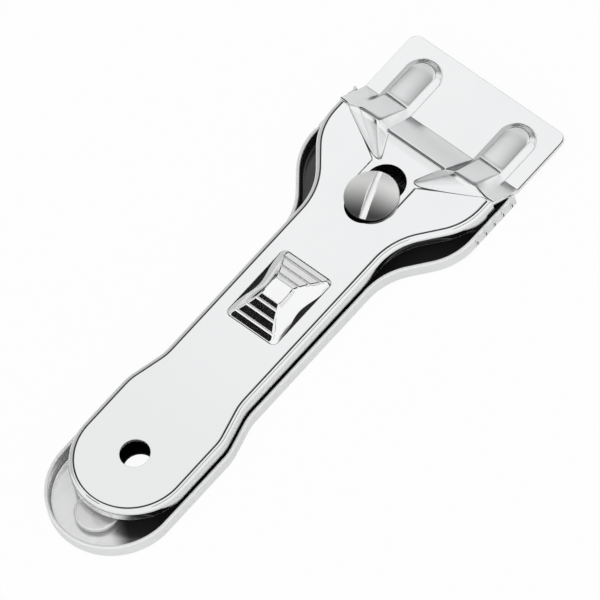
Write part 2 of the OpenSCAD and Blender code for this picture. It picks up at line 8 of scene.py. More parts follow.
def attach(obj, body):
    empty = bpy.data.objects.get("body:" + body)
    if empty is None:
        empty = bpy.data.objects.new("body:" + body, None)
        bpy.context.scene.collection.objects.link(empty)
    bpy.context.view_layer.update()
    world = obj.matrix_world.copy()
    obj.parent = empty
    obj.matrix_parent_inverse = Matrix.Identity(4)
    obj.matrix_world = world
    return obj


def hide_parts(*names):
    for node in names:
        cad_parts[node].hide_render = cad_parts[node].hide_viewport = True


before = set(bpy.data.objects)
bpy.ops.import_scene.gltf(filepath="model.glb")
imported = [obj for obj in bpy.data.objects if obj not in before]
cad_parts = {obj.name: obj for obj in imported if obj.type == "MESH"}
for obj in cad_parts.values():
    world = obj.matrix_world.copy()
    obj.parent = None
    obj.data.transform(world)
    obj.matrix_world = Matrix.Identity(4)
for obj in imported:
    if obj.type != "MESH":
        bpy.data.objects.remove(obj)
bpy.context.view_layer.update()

# Camera. A long lens that looks down on the scraper from its right rear side, turned so that
# the tail lies at the lower left and the head at the upper right.
mm = 0.001
to_camera = Vector((-0.2963, -0.4133, 0.8611)).normalized()
picture_up = Vector((0.7001, 0.5185, 0.4897))
picture_right = picture_up.cross(to_camera).normalized()
picture_up = to_camera.cross(picture_right)
aim = Vector((2.78, -4.09, 7.97)) * mm
camera_distance = 5
picture_width = 130.8 * mm
sensor_width = 36
bpy.ops.object.camera_add(location=aim + to_camera * camera_distance)
camera = bpy.context.object
camera.rotation_euler = Matrix((picture_right, picture_up, to_camera)).transposed().to_euler()
camera.data.sensor_width = sensor_width
camera.data.lens = sensor_width * camera_distance / picture_width
camera.data.clip_start = 0.1
camera.data.clip_end = 20
bpy.context.scene.camera = camera

# Tray, the lower shell. One sheet of plated steel, pressed with a round bend along its edge and
# left open at the head. Its tail is longer and its wall wider than the cover's.
sheet = 0.8
rim_z = 4.4
tray_bend = 1.4
tray_tail_x, tray_tail_r = -71, 15.4
tray_front_x, tray_half_w = 52.2, 23.4
# Corners of the outline from the tail to the head, each with its place and its bend radius
tray_corners = [(-34.2, 15.4, 12), (-24.9, 12.9, 12), (19.9, 12.9, 15), (32.4, 23.4, 15)]
hole_x, screw_x, rivet_x = -47.8, 31.7, -61.6


def side_of_shell(tail_x, tail_r, corners, end_x, end_y):
    # Points along the left side from the tip of the tail to the head, with their outward direction
    side = []
    for step in range(31):
        a = math.radians(180 - 3 * step)
        out = Vector((math.cos(a), math.sin(a)))
        side.append((Vector((tail_x + tail_r, 0)) + out * tail_r, out))
    marks = [side[-1][0]] + [Vector(c[:2]) for c in corners] + [Vector((end_x, end_y))]
    for k, (x, y, r) in enumerate(corners):
        a, b, c = marks[k], marks[k + 1], marks[k + 2]
        u, v = (a - b).normalized(), (c - b).normalized()
        half = u.angle(v) / 2
        centre = b + (u + v).normalized() * (r / math.sin(half))
        start = b + u * (r / math.tan(half)) - centre
        turns_out = u.y * v.x - u.x * v.y > 0
        turn = (math.pi - 2 * half) * (1 if turns_out else -1)
        count = max(4, round(abs(math.degrees(turn)) / 2.5))
        for step in range(count + 1):
            t = turn * step / count
            arm = Vector((
                start.x * math.cos(t) - start.y * math.sin(t),
                start.x * math.sin(t) + start.y * math.cos(t),
            ))
            side.append((centre + arm, arm.normalized() * (-1 if turns_out else 1)))
    side.append((Vector((end_x, end_y)), Vector((0, 1))))
    return side


def round_the_tail(side):
    # The left side back to the tip of the tail, and on along the right side
    right = [(Vector((p.x, -p.y)), Vector((n.x, -n.y))) for p, n in side]
    return side[::-1] + right[1:]


def filled_ring(name, points):
    bpy.ops.mesh.primitive_circle_add(vertices=len(points), fill_type="NGON")
    ring = bpy.context.object
    ring.name = name
    for vertex, point in zip(ring.data.vertices, points):
        vertex.co = Vector(point) * mm
    return ring


def formed_grid(name, rows, columns, place):
    bpy.ops.mesh.primitive_grid_add(x_subdivisions=rows - 1, y_subdivisions=columns - 1, size=2)
    grid = bpy.context.object
    grid.name = name
    for vertex in grid.data.vertices:
        i = round((vertex.co.x + 1) / 2 * (rows - 1))
        j = round((vertex.co.y + 1) / 2 * (columns - 1))
        vertex.co = Vector(place(i, j)) * mm
    return grid


def bent_wall(name, chain, rings, drop):
    # The bend and wall along a chain of points; a ring is a distance in from the edge and a height
    def place(i, j):
        (point, out), (inward, height) = chain[i], rings[j]
        return (*(point - out * inward), height - drop(point.x))

    return formed_grid(name, len(chain), len(rings), place)


def joined(name, parts, up):
    bpy.ops.object.select_all(action="DESELECT")
    for part in parts:
        part.select_set(True)
    bpy.context.view_layer.objects.active = parts[0]
    bpy.ops.object.join()
    piece = bpy.context.object
    piece.name = piece.data.name = name
    bpy.ops.object.mode_set(mode="EDIT")
    bpy.ops.mesh.select_all(action="SELECT")
    bpy.ops.mesh.remove_doubles(threshold=0.002 * mm)
    bpy.ops.mesh.normals_make_consistent(inside=False)
    bpy.ops.object.mode_set(mode="OBJECT")
    biggest = max(piece.data.polygons, key=lambda f: f.area)
    if biggest.normal.z * up < 0:
        bpy.ops.object.mode_set(mode="EDIT")
        bpy.ops.mesh.flip_normals()
        bpy.ops.object.mode_set(mode="OBJECT")
    return piece


def apply_all(piece):
    bpy.ops.object.select_all(action="DESELECT")
    piece.select_set(True)
    bpy.context.view_layer.objects.active = piece
    for modifier in list(piece.modifiers):
        bpy.ops.object.modifier_apply(modifier=modifier.name)


def thickened(piece, edge_r):
    # Gives the sheet its wall and rounds the cut edges. Slot 1 is its inner side, slot 2 its edges.
    wall = piece.modifiers.new("wall", "SOLIDIFY")
    wall.thickness = sheet * mm
    wall.offset = -1
    wall.use_even_offset = True
    wall.material_offset = 1
    wall.material_offset_rim = 2
    apply_all(piece)
    bpy.ops.object.mode_set(mode="EDIT")
    bpy.ops.mesh.select_all(action="DESELECT")
    form = bmesh.from_edit_mesh(piece.data)
    for edge in form.edges:
        rim_faces = sum(face.material_index == 2 for face in edge.link_faces)
        if rim_faces == 1 and len(edge.link_faces) == 2:
            edge.select_set(True)
    bmesh.update_edit_mesh(piece.data)
    bpy.ops.mesh.bevel(
        offset=edge_r * mm, segments=3, profile=0.5, clamp_overlap=False, material=2)
    bpy.ops.object.mode_set(mode="OBJECT")


def drawn_out(name, loops):
    # A filled ring, extruded again and again, each time to the next loop of points
    piece = filled_ring(name, loops[0])
    piece.data.name = name
    bpy.ops.object.mode_set(mode="EDIT")
    form = bmesh.from_edit_mesh(piece.data)
    number = form.verts.layers.int.new("number")
    form.verts.ensure_lookup_table()
    for k, vertex in enumerate(form.verts):
        vertex[number] = k
    bmesh.update_edit_mesh(piece.data)
    bpy.ops.mesh.select_all(action="SELECT")
    for loop in loops[1:]:
        bpy.ops.mesh.extrude_region()
        form = bmesh.from_edit_mesh(piece.data)
        number = form.verts.layers.int["number"]
        for vertex in form.verts:
            if vertex.select:
                vertex.co = Vector(loop[vertex[number]]) * mm
        bmesh.update_edit_mesh(piece.data)
    bpy.ops.mesh.select_all(action="SELECT")
    bpy.ops.mesh.normals_make_consistent(inside=False)
    bpy.ops.object.mode_set(mode="OBJECT")
    piece.data.attributes.remove(piece.data.attributes["number"])
    return piece


def circle(x, y, r, count=72):
    turns = [2 * math.pi * k / count for k in range(count)]
    return [(x + r * math.cos(t), y + r * math.sin(t)) for t in turns]


def cut_out(piece, cutters):
    for cutter in cutters:
        hole = piece.modifiers.new("hole", "BOOLEAN")
        hole.operation = "DIFFERENCE"
        hole.solver = "EXACT"
        hole.object = cutter
    apply_all(piece)
    for cutter in cutters:
        bpy.data.objects.remove(cutter)


def punch(name, outline, low, high, soft):
    # A punch through the sheet from low to high, whose flared ends leave soft edges on the hole
    levels = [(soft + 1, low - 1), (soft, low), (0.3 * soft, low + 0.3 * soft), (0, low + soft)]
    levels += [(0, high - soft), (0.3 * soft, high - 0.3 * soft), (soft, high)]
    levels.append((soft + 1, high + 1))
    return drawn_out(name, [[(*p, z) for p in outline(d)] for d, z in levels])


def smoothed(piece, angle=35):
    bpy.ops.object.select_all(action="DESELECT")
    piece.select_set(True)
    bpy.context.view_layer.objects.active = piece
    bpy.ops.object.shade_smooth_by_angle(angle=math.radians(angle))
    flats = piece.modifiers.new("flats", "WEIGHTED_NORMAL")
    flats.keep_sharp = True
    flats.weight = 80
    apply_all(piece)


# A Mix node of colours numbers them 6 and 7 and the mixed one 2
colour_a, colour_b, mixed_colour = 6, 7, 2


def finish_marks():
    # Slow change of tone, polishing lines along the length and a fine grain, for every metal here
    group = bpy.data.node_groups.new("finish marks", "ShaderNodeTree")
    wanted = [
        ("Light", "NodeSocketColor"), ("Deep", "NodeSocketColor"),
        ("Smoothest", "NodeSocketFloat"), ("Roughest", "NodeSocketFloat"),
        ("Line density", "NodeSocketFloat"), ("Cloud density", "NodeSocketFloat"),
    ]
    for name, kind in wanted:
        group.interface.new_socket(name, in_out="INPUT", socket_type=kind)
    for name, kind in (("Colour", "Color"), ("Roughness", "Float"), ("Height", "Float")):
        group.interface.new_socket(name, in_out="OUTPUT", socket_type="NodeSocket" + kind)
    nodes, link = group.nodes, group.links.new
    given, made = nodes.new("NodeGroupInput"), nodes.new("NodeGroupOutput")
    place = nodes.new("ShaderNodeTexCoord")
    stretch = nodes.new("ShaderNodeMapping")
    stretch.inputs["Scale"].default_value = (0.03, 1, 1)
    lines, cloud, grain = [nodes.new("ShaderNodeTexNoise") for _ in range(3)]
    lines.inputs["Detail"].default_value = 5
    cloud.inputs["Detail"].default_value = 3
    grain.inputs["Scale"].default_value = 4200
    tone, shine = nodes.new("ShaderNodeMix"), nodes.new("ShaderNodeMapRange")
    tone.data_type = "RGBA"
    both, height = nodes.new("ShaderNodeMath"), nodes.new("ShaderNodeMath")
    both.operation, height.operation = "ADD", "MULTIPLY_ADD"
    link(place.outputs["Object"], stretch.inputs["Vector"])
    link(place.outputs["Object"], cloud.inputs["Vector"])
    link(place.outputs["Object"], grain.inputs["Vector"])
    link(stretch.outputs["Vector"], lines.inputs["Vector"])
    link(given.outputs["Line density"], lines.inputs["Scale"])
    link(given.outputs["Cloud density"], cloud.inputs["Scale"])
    link(cloud.outputs["Fac"], tone.inputs["Factor"])
    link(given.outputs["Light"], tone.inputs[colour_a])
    link(given.outputs["Deep"], tone.inputs[colour_b])
    link(cloud.outputs["Fac"], both.inputs[0])
    link(lines.outputs["Fac"], both.inputs[1])
    link(both.outputs[0], shine.inputs["Value"])
    shine.inputs["From Min"].default_value = 0.7
    shine.inputs["From Max"].default_value = 1.3
    link(given.outputs["Smoothest"], shine.inputs["To Min"])
    link(given.outputs["Roughest"], shine.inputs["To Max"])
    link(grain.outputs["Fac"], height.inputs[0])
    height.inputs[1].default_value = 0.3
    link(lines.outputs["Fac"], height.inputs[2])
    link(tone.outputs[mixed_colour], made.inputs["Colour"])
    link(shine.outputs["Result"], made.inputs["Roughness"])
    link(height.outputs[0], made.inputs["Height"])
    return group


finish_group = finish_marks()


def metal(name, light, deep, smoothest, roughest, lines=1500, cloud=120, relief=0.04, metallic=1):
    steel = bpy.data.materials.new(name)
    steel.use_nodes = True
    nodes, link = steel.node_tree.nodes, steel.node_tree.links.new
    shader = nodes["Principled BSDF"]
    shader.inputs["Metallic"].default_value = metallic
    finish, bump = nodes.new("ShaderNodeGroup"), nodes.new("ShaderNodeBump")
    finish.node_tree = finish_group
    finish.inputs["Light"].default_value = (*light, 1)
    finish.inputs["Deep"].default_value = (*deep, 1)
    finish.inputs["Smoothest"].default_value = smoothest
    finish.inputs["Roughest"].default_value = roughest
    finish.inputs["Line density"].default_value = lines
    finish.inputs["Cloud density"].default_value = cloud
    bump.inputs["Strength"].default_value = relief
    bump.inputs["Distance"].default_value = 0.01 * mm
    link(finish.outputs["Colour"], shader.inputs["Base Color"])
    link(finish.outputs["Roughness"], shader.inputs["Roughness"])
    link(finish.outputs["Height"], bump.inputs["Height"])
    link(bump.outputs["Normal"], shader.inputs["Normal"])
    return steel


chrome = metal("bright plating", (0.93, 0.935, 0.94), (0.88, 0.888, 0.895), 0.035, 0.065, cloud=60)
cut_edge = metal(
    "plated cut edge", (0.98, 0.98, 0.98), (0.94, 0.945, 0.95), 0.3, 0.4, cloud=60, metallic=0.3)


def with_painted_shade(steel, along, start, end, dark):
    # Painted shade: a metal's colour grows darker along a direction, from start to end in
    # millimetres
    nodes, link = steel.node_tree.nodes, steel.node_tree.links.new
    place, reach = nodes.new("ShaderNodeTexCoord"), nodes.new("ShaderNodeMapRange")
    way, painted_shade = nodes.new("ShaderNodeVectorMath"), nodes.new("ShaderNodeMix")
    way.operation = "DOT_PRODUCT"
    way.inputs[1].default_value = along
    reach.interpolation_type = "SMOOTHSTEP"
    reach.inputs["From Min"].default_value = start * mm
    reach.inputs["From Max"].default_value = end * mm
    painted_shade.data_type = "RGBA"
    painted_shade.inputs[colour_b].default_value = (*dark, 1)
    link(place.outputs["Object"], way.inputs[0])
    link(way.outputs["Value"], reach.inputs["Value"])
    link(reach.outputs["Result"], painted_shade.inputs["Factor"])
    link(nodes["Group"].outputs["Colour"], painted_shade.inputs[colour_a])
    link(painted_shade.outputs[mixed_colour], nodes["Principled BSDF"].inputs["Base Color"])
    return steel


# Painted shade: the plating inside the tray grows nearly black under the cover, towards the head
# and the right
tray_inside = with_painted_shade(
    metal(
        "plating inside the tray with painted shade", (0.99, 0.99, 0.99), (0.95, 0.955, 0.96), 0.15, 0.2,
        cloud=60, relief=0.01, metallic=0.65),
    (0.8, -0.6, 0), -48.5, -43.5, (0.08, 0.08, 0.082))
tray_chain = round_the_tail(
    side_of_shell(tray_tail_x, tray_tail_r, tray_corners, tray_front_x, tray_half_w))
tray_rings = []
for k in range(7):
    a = math.radians(15 * k)
    tray_rings.append((tray_bend * (1 - math.sin(a)), tray_bend * (1 - math.cos(a))))
tray_rings.append((0, rim_z))
tray_floor = filled_ring("floor", [(*(p - n * tray_bend), 0) for p, n in tray_chain])
tray_wall = bent_wall("wall", tray_chain, tray_rings, lambda x: 0)
tray = joined("tray", [tray_floor, tray_wall], -1)
tray.data.materials.append(chrome)
tray.data.materials.append(tray_inside)
tray.data.materials.append(cut_edge)
thickened(tray, 0.3)
# Grip notches in the wall beside the head, each cut by a short bar with a rounded face
notch_half_w, notch_depth, notch_z = 0.75, 0.34, 1.2
notch_face = [(-1, 0.03), (-0.8, -0.16), (-0.4, -notch_depth), (0.4, -notch_depth)]
notch_face += [(0.8, -0.16), (1, 0.03), (1, 1), (-1, 1)]
notches = []
for side in (-1, 1):
    for x in (50.9, 48.0, 45.1, 42.2, 39.3):
        notches.append(drawn_out("notch", [
            [(x + a * notch_half_w, side * (tray_half_w + b), z) for a, b in notch_face]
            for z in (notch_z, 5)]))
cut_out(tray, notches + [
    punch("hanging hole", lambda d: circle(hole_x, 0, 4.3 + d), 0, sheet, 0.12),
    punch("boss hole", lambda d: circle(screw_x, 0, 3.2 + d), 0, sheet, 0.05),
    punch("rivet hole", lambda d: circle(rivet_x, 0, 1.8 + d), 0, sheet, 0.05),
])
smoothed(tray)
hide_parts("base_tray")
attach(tray, "base")

# Cover and guard, the upper shell. The same plated sheet, pressed with a tighter bend. Its front
# is folded down by a slanted band into the flat guard plate, and two ribs stiffen band and plate.
top_z = 8.0
flange_z = 4.9
cover_bend = 1.75
cover_tail_x, cover_tail_r = -62.9, 14.3
cover_corners = [(-34.2, 14.3, 12), (-24.9, 11.8, 12), (25.9, 11.8, 15), (38.4, 22.3, 15)]
fold_x, foot_x, front_x = 46.6, 54.2, 71.0
plate_z = 2.55
head_y = 22.3
fold_slope = (top_z - plate_z) / (foot_x - fold_x)
fold_soft, foot_soft = 0.55, 0.07
rib_y, rib_end_x = 13.7, 63.2
rib_top, rib_base, rib_rise = 3.2, 4.5, 1.3
rib_lean = 0.42
# Place of a ridge's tip beside the screw slot, then the half widths of the ridge's top and base
# at that tip and at the fold
tip_x, tip_y, tip_top, tip_base = 39.8, 5.4, 0.3, 0.95
ridge_top, ridge_inner, ridge_outer = 2.6, 5.5, 6.3
pad_y, pad_front_y, pad_turn_x, pad_rise = 6.1, 19.5, 39.1, 0.04
corner_r = 2.2
detail_x = 23.5


def steps(*marks):
    # Values from mark to mark; the second number of a mark is the largest step after it
    values = []
    for (a, gap), (b, _) in zip(marks, marks[1:]):
        count = math.ceil((b - a) / gap - 1e-6)
        values += [a + (b - a) * k / count for k in range(count)]
    return values + [marks[-1][0]]


def soft_ramp(u, e):
    # From 0 to 1 in a straight line, with a curve of half length e at both ends
    if u <= -e:
        return 0
    if u < e:
        return (u + e) ** 2 / (4 * e)
    if u <= 1 - e:
        return u
    return 1 - (1 + e - u) ** 2 / (4 * e) if u < 1 + e else 1


def sheet_level(x):
    # Height of the sheet along the middle: top face, slanted band, guard plate
    s, f = x - fold_x, x - foot_x
    if s < fold_soft:
        return top_z - fold_slope * max(0, s + fold_soft) ** 2 / (4 * fold_soft)
    if f > -foot_soft:
        return plate_z + fold_slope * max(0, foot_soft - f) ** 2 / (4 * foot_soft)
    return top_z - fold_slope * s


def rib_height(x, y):
    # A ridge that widens towards the fold, and from there a rib with a round end on the plate
    a = abs(y)
    share = max(0, min(1, (x - tip_x) / (fold_x - tip_x)))
    down = max(0, min(1, (x - fold_x) / (foot_x - fold_x)))
    middle = tip_y + (rib_y - tip_y) * share
    top = tip_top + (ridge_top + (rib_top - ridge_top) * down - tip_top) * share
    wide = (ridge_inner if a < middle else ridge_outer) * (1 - down) + rib_base * down
    base = tip_base + (wide - tip_base) * share
    away = math.hypot(x - rib_end_x, a - middle) if x > rib_end_x else abs(a - middle)
    crown = 0.09 * max(0, 1 - (away / top) ** 2) - 0.16 * (max(0, x - 55) / 8) ** 2
    fall = (away - top) / (base - top)
    fall = soft_ramp(fall, 0.12 if fall < 0.5 else 0.05)
    return (rib_rise + crown) * share * (1 - fall)


def pad_height(x, y):
    # A shallow pressed field around the screw slot that runs out into the two ridges
    edge = pad_y
    if x >= pad_turn_x:
        edge += (x - pad_turn_x) * (pad_front_y - pad_y) / (fold_x - pad_turn_x)
    fade = soft_ramp((x - 28) / 3, 0.2) * (1 - soft_ramp((x - 44.5) / 2, 0.2))
    return pad_rise * fade * (1 - soft_ramp((abs(y) - edge) / 0.22, 0.2))


def cover_height(x, y):
    rise = rib_height(x, y)
    return sheet_level(x - rib_lean * rise / rib_rise) + rise + pad_height(x, y)


cover_side = side_of_shell(cover_tail_x, cover_tail_r, cover_corners, fold_x, head_y)
# Rows across the front, closest together at the fold, at the foot and at the round ends of the ribs
rows = steps(
    (detail_x, 0.5), (38, 0.27), (45.8, 0.1), (fold_x, 0.1), (47.4, 0.7), (53.98, 0.04),
    (54.42, 0.9), (62.6, 0.15), (68, 0.4), (front_x - corner_r, 1))
for a in (12, 24, 36, 48, 58, 68, 90):
    rows.append(front_x - corner_r + corner_r * math.sin(math.radians(a)))
plain_y, rim_w = 19.2, 2.1
half_columns = steps(
    (0, 0.6), (3.5, 0.25), (8.9, 0.13), (10.8, 0.3), (16.6, 0.13), (18.6, 0.3), (plain_y, 0.4),
    (21.3, 1))
# One more column close to the left edge keeps the plate flat up to the rounding of that edge
close_column, close_gap = 21.2, 0.13
columns = [-c for c in half_columns[:0:-1]] + half_columns[:-1] + [close_column, half_columns[-1]]


def inner_edge(x):
    # Where the flat of the cover meets its bend at x, and the outward direction there
    points = [(p - n * cover_bend, n) for p, n in cover_side]
    for (p, n), (q, m) in zip(points, points[1:]):
        if p.x <= x <= q.x and q.x > p.x:
            t = (x - p.x) / (q.x - p.x)
            return p.lerp(q, t), n.lerp(m, t).normalized()
    return points[-1]


def half_width(x):
    if x <= fold_x:
        return inner_edge(x)[0].y
    if x <= front_x - corner_r:
        return head_y
    return head_y - corner_r + math.sqrt(max(0, corner_r ** 2 - (x - front_x + corner_r) ** 2))


def front_place(i, j):
    # Beyond plain_y the columns follow the edge, and the others draw in where the cover is narrow
    x, y = rows[i], columns[j]
    edge, a = half_width(x), abs(y)
    narrow = min(1, (edge - 0.9) / plain_y)
    if y == close_column:
        y = edge - close_gap
    elif a <= plain_y:
        y = math.copysign(a * narrow, y)
    else:
        a = plain_y * narrow + (a - plain_y) / rim_w * (edge - plain_y * narrow)
        y = math.copysign(a, y)
    return x, y, cover_height(x, y)


cover_chain_side = [(p - n * cover_bend, n) for p, n in cover_side]
cover_chain_side = [(p, n) for p, n in cover_chain_side if p.x < detail_x - 0.3]
cover_chain_side += [inner_edge(x) for x in rows if x <= fold_x + 1e-6]
cover_chain = round_the_tail(cover_chain_side)
back_chain = [p for p, n in cover_chain if p.x < detail_x - 0.1]
front_row = [front_place(0, j)[:2] for j in range(len(columns))]
cover_back = filled_ring("back", [(p[0], p[1], top_z) for p in back_chain + front_row])
# The face first rolls off by 10 degrees over 0.75 mm, then turns down in a round bend
lead, lead_drop, lead_turn, bend_r = 0.75, 0.066, 10, 1.21
cover_rings = [(-lead * k / 6, top_z - lead_drop * (k / 6) ** 2) for k in range(7)]
first = math.radians(lead_turn)
for k in range(1, 9):
    a = math.radians(lead_turn + 10 * k)
    cover_rings.append((
        -lead - bend_r * (math.sin(a) - math.sin(first)),
        top_z - lead_drop - bend_r * (math.cos(first) - math.cos(a))))
cover_rings.append((-cover_bend, flange_z))
cover_wall = bent_wall("bend", cover_chain, cover_rings, lambda x: top_z - sheet_level(x))
cover_front = formed_grid("front", len(rows), len(columns), front_place)
cover = joined("cover", [cover_back, cover_wall, cover_front], 1)
# Rougher unplated steel for the cover's inner side and the parts inside; its near-black colour is
# painted shade
inner_steel_and_shade = metal(
    "dull steel inside", (0.05, 0.05, 0.052), (0.03, 0.03, 0.031), 0.3, 0.45, relief=0.1)
# Painted shade: the plating's colour grows a little darker towards the tail
cover_chrome = with_painted_shade(
    metal(
        "plating with pressed ribs and painted shade", (0.93, 0.935, 0.94), (0.89, 0.897, 0.905), 0.035, 0.065,
        cloud=60),
    (-1, 0, 0), -20, 50, (0.86, 0.865, 0.87))
nodes, link = cover_chrome.node_tree.nodes, cover_chrome.node_tree.links.new
place, parts = nodes.new("ShaderNodeTexCoord"), nodes.new("ShaderNodeSeparateXYZ")
link(place.outputs["Object"], parts.inputs[0])


def where(axis, test, level):
    # A mask of 1 where the place along an axis passes the test with a level in millimetres
    step = nodes.new("ShaderNodeMath")
    step.operation = test
    step.inputs[1].default_value = level * mm
    link(parts.outputs[axis], step.inputs[0])
    return step.outputs[0]


def combined(a, operation, b):
    both = nodes.new("ShaderNodeMath")
    both.operation = operation
    link(a, both.inputs[0])
    link(b, both.inputs[1])
    return both.outputs[0]


# The ridges, the band and the ribs are duller than the flat sheet, and the fold less so. The
# stops give the roughness at places along the length.
band_and_ribs = combined(
    where("X", "GREATER_THAN", 47.1), "MULTIPLY", where("Z", "GREATER_THAN", 2.565))
pressed = combined(where("Z", "GREATER_THAN", 8.07), "MAXIMUM", band_and_ribs)
forward, dullness = nodes.new("ShaderNodeMapRange"), nodes.new("ShaderNodeValToRGB")
duller = nodes.new("ShaderNodeMix")
ramp_start, ramp_end = 40, 70
link(parts.outputs["X"], forward.inputs["Value"])
forward.inputs["From Min"].default_value = ramp_start * mm
forward.inputs["From Max"].default_value = ramp_end * mm
link(forward.outputs["Result"], dullness.inputs["Fac"])
stops = [
    (45.6, 0.28), (46, 0.1), (47.1, 0.1), (47.3, 0.22), (54, 0.22), (55, 0.17), (64.5, 0.17),
    (66.3, 0.3)]
for x, rough in stops[2:]:
    dullness.color_ramp.elements.new((x - ramp_start) / (ramp_end - ramp_start))
for stop, (x, rough) in zip(dullness.color_ramp.elements, stops):
    stop.position = (x - ramp_start) / (ramp_end - ramp_start)
    stop.color = (rough, rough, rough, 1)
link(pressed, duller.inputs[0])
link(nodes["Group"].outputs["Roughness"], duller.inputs[2])
link(dullness.outputs["Color"], duller.inputs[3])
link(duller.outputs[0], nodes["Principled BSDF"].inputs["Roughness"])
cover.data.materials.append(cover_chrome)
cover.data.materials.append(inner_steel_and_shade)
cover.data.materials.append(cut_edge)
thickened(cover, 0.12)
hole_r = 3.4
slider_x = 0.5
window_half_l, window_half_w, window_r = 10, 7.2, 1.5
slot_r, slot_front_x, slot_rear_x = 4.8, 36.1, 29.6


def window(d):
    x, y, r = window_half_l + d, window_half_w + d, window_r
    points = []
    for k, (sx, sy) in enumerate(((1, 1), (-1, 1), (-1, -1), (1, -1))):
        for step in range(9):
            t = math.radians(90 * k + 11.25 * step)
            points.append((
                slider_x + sx * (x - r) + r * math.cos(t), sy * (y - r) + r * math.sin(t)))
    return points


def slot(d):
    points = circle(0, 0, slot_r + d)
    return [(x + (slot_front_x if x >= 0 else slot_rear_x), y) for x, y in points]


cut_out(cover, [
    punch("hole", lambda d: circle(hole_x, 0, hole_r + d), top_z - sheet, top_z, 0.12),
    punch("window", window, top_z - sheet, top_z, 0.1),
    punch("screw slot", slot, top_z - sheet - 0.3, top_z + 0.09, 0.12),
])
smoothed(cover)
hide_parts("guard_cover")
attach(cover, "guard")

# Thumb slider. A cast and plated hump with three grip ribs on each slope, narrow in its middle,
# that sits in the cover's window and is held by a plate below.
slider_half_l, slider_half_w, waist_in = 9.9, 7.1, 1.3
flat_l, flat_w, hump_h, end_h, end_w = 2.4, 2.75, 3.0, 0.13, 6.75
foot_z = 7.15
corner_round, edge_round = 1.3, 0.12
grip_places, grip_half_w, grip_rise = (3.7, 5.9, 8.15), 0.26, 0.07


def hump_section(x):
    # The outline across the hump at x, right round from the middle of its foot
    u = abs(x) / slider_half_l
    f = max(0, (abs(x) - flat_l) / (slider_half_l - flat_l))
    over = max(0, abs(x) - slider_half_l + corner_round)
    drawn_in = corner_round - math.sqrt(max(0, corner_round ** 2 - over ** 2))
    low = slider_half_w - waist_in * math.cos(math.radians(90 * u)) ** 4 - drawn_in
    top = flat_w + (end_w - flat_w) * (0.6 * f + 0.4 * f * f) - drawn_in
    grip = sum(
        grip_rise * math.cos(math.pi / 2 * (abs(x) - c) / grip_half_w) ** 2
        for c in grip_places if abs(abs(x) - c) < grip_half_w)
    last = max(0, abs(x) - slider_half_l + edge_round)
    z = top_z + hump_h - (hump_h - end_h) * f
    z -= edge_round - math.sqrt(max(0, edge_round ** 2 - last ** 2))
    side_z = min(top_z - 0.1, z - 0.2)
    half = [(0, foot_z), (0.5 * low, foot_z), (low, foot_z), (low, foot_z + 0.35)]
    for t in (0, 0.15, 0.35, 0.55, 0.75, 0.9):
        bow = -0.8 * math.sin(math.pi * t) * max(0, 1 - u) * (z - side_z) / 3
        half.append((low + (top - low) * t + bow, side_z + (z - side_z) * t))
    half.append((top + 0.01, z - edge_round + 0.8 * grip))
    half.append((top - 0.3 * edge_round, z - 0.3 * edge_round + 0.9 * grip))
    half += [(y, z + grip) for y in (top - edge_round, top - 0.5, 0.6 * top, 0.3 * top, 0)]
    right = [(-y, h) for y, h in half[-2:0:-1]]
    return [(slider_x + x, y, h) for y, h in half + right]


slopes = steps(
    (0, 1.2), (flat_l - 0.1, 0.1), (slider_half_l - edge_round, 0.03), (slider_half_l, 1))
slider = drawn_out("slider", [hump_section(x) for x in [-s for s in slopes[:0:-1]] + slopes])
slider.data.materials.append(metal(
    "bright cast plating", (0.99, 0.99, 0.99), (0.95, 0.955, 0.96), 0.05, 0.09, cloud=200))
smoothed(slider, 40)
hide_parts("thumb_slider")
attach(slider, "slider")

# Clamp screw. A turned steel screw with a wide, slightly domed head and a coin slot across it,
# a shoulder that fits the cover's slot, and a thread that goes into the boss on the tray.
head_r, dome_edge_r, dome_h, head_top_z = 6.15, 5.85, 0.78, 10
# Radius and height, from the tip of the thread over its turns and the shoulder to the head
screw_profile = [(0.2, 3.2), (1.6, 3.2), (2.0, 3.6)]
for k in range(6):
    screw_profile += [(2.0, 3.7 + 0.5 * k), (1.75, 3.95 + 0.5 * k)]
screw_profile += [(2.0, 6.75), (2.5, 6.9), (2.5, 8.3), (5.9, 8.3), (6.08, 8.38), (head_r, 8.55)]
screw_profile += [(head_r, 8.95)]
for k in range(6):
    t = math.radians(15 * (k + 1))
    screw_profile.append((dome_edge_r + 0.3 * math.cos(t), 8.95 + 0.27 * math.sin(t) ** 1.2))
dome_r = (dome_edge_r ** 2 + dome_h ** 2) / (2 * dome_h)
for k in range(1, 15):
    r = dome_edge_r * (1 - k / 14.5)
    screw_profile.append((r, head_top_z - dome_r + math.sqrt(dome_r ** 2 - r ** 2)))
screw = drawn_out("screw", [[(*p, z) for p in circle(screw_x, 0, r, 96)] for r, z in screw_profile])
# Painted shade: the screw's colour grows nearly black towards the rear and right of its head
screw_steel = with_painted_shade(
    metal(
        "screw steel with painted shade", (1, 1, 0.99), (0.95, 0.95, 0.94), 0.3, 0.36, lines=2500, metallic=0.35),
    (-0.92, -0.38, 0), -32.6, -23.7, (0.04, 0.04, 0.04))
slot_steel = metal("slot faces", (1, 1, 1), (0.97, 0.97, 0.97), 0.1, 0.16)
screw.data.materials.append(screw_steel)
screw.data.materials.append(slot_steel)
coin_turn = 22
turned = Matrix.Rotation(math.radians(coin_turn), 2)


def coin_slot(z, w):
    # Outline of the slot at a height, w wide to each side
    corners = [(-8, -w), (8, -w), (8, w), (-8, w)]
    return [(*(turned @ Vector(c) + Vector((screw_x, 0))), z) for c in corners]


